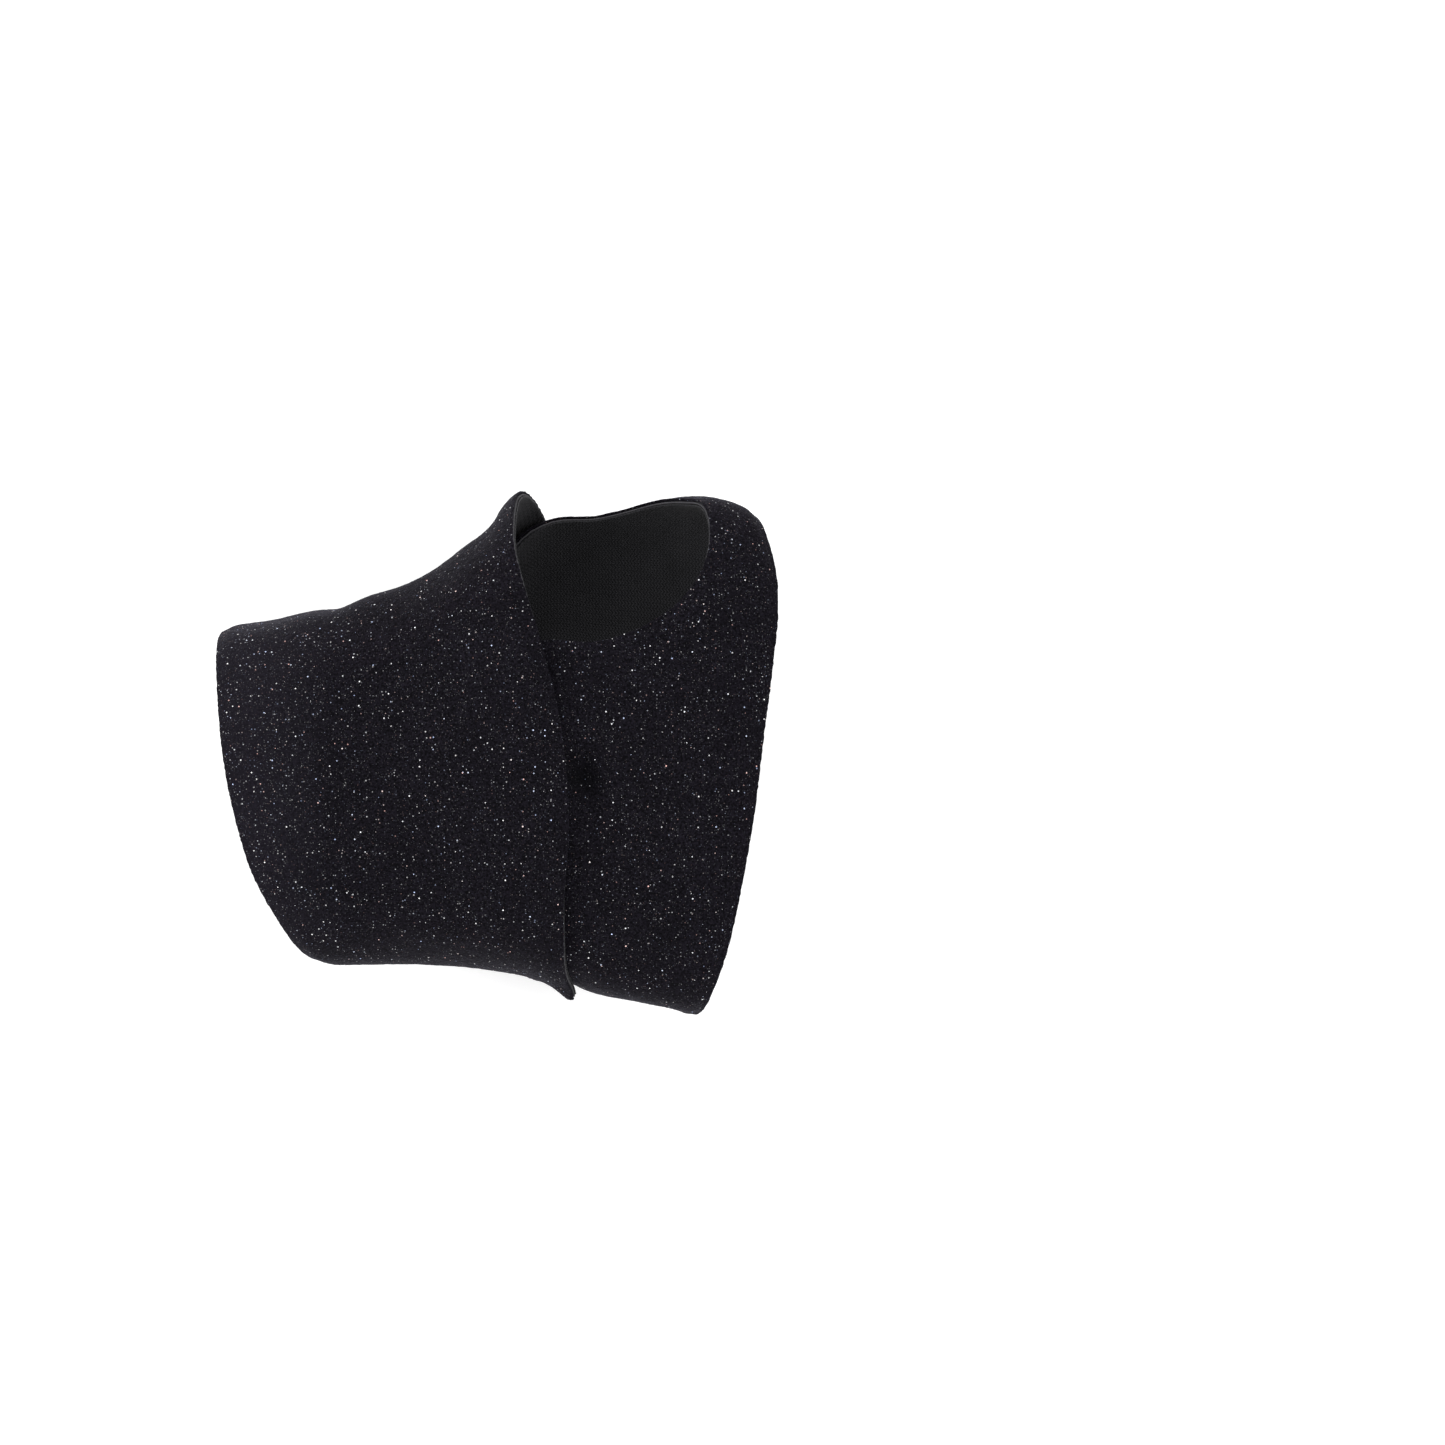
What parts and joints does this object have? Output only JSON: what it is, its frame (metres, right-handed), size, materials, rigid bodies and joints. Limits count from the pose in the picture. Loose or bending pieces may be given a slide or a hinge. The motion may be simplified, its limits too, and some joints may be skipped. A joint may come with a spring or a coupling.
{
  "type": "wrist support brace",
  "caption": "Wrap-around foam wrist brace for the left hand, wound once round the palm through a thumb hole and lapped over the wrist with a hook-and-loop flap.",
  "frame": {"origin": "centre of the brace's box in X and Y, on the plane that its back-of-hand side lies on", "axes": "+X towards the fingers along the forearm, +Y towards the thumb, +Z out of the palm side"},
  "size_m": [0.1126, 0.1044, 0.0541],
  "materials": {
    "plush": "napped loop fabric, matt black with fine glitter",
    "foam": "closed-cell foam, matt, raw cut edge",
    "lining": "fine jersey, matt",
    "hook_tape": "woven tape, slight sheen",
    "hooks": "moulded hooks, satin",
    "thread": "twisted polyester thread"
  },
  "bodies": {
    "sleeve": {"sleeve_plush": "plush", "sleeve_foam": "foam", "sleeve_lining": "lining"},
    "flap_base": {"flap_base_plush": "plush", "flap_base_foam": "foam", "flap_base_lining": "lining"},
    "flap_middle": {"flap_middle_plush": "plush", "flap_middle_foam": "foam", "flap_middle_lining": "lining"},
    "flap_end": {"flap_end_plush": "plush", "flap_end_foam": "foam", "flap_end_lining": "lining", "hook_tape": "hook_tape", "hook_field": "hooks", "tab_stitching": "thread"}
  },
  "joints": [
    {"name": "flap_base_fold", "type": "hinge", "parent": "sleeve", "child": "flap_base", "pos_m": [-0.02412, 0.01842, 0.04902], "axis": [-0.9639, -0.2447, -0.1051], "range_deg": [0, 110]},
    {"name": "flap_middle_fold", "type": "hinge", "parent": "flap_base", "child": "flap_middle", "pos_m": [-0.02038, -0.0013, 0.05186], "axis": [-0.9937, -0.0734, -0.0848], "range_deg": [0, 40]},
    {"name": "flap_end_fold", "type": "hinge", "parent": "flap_middle", "child": "flap_end", "pos_m": [-0.01834, -0.02032, 0.05096], "axis": [-0.9964, 0.0469, -0.0704], "range_deg": [0, 60]}
  ]
}
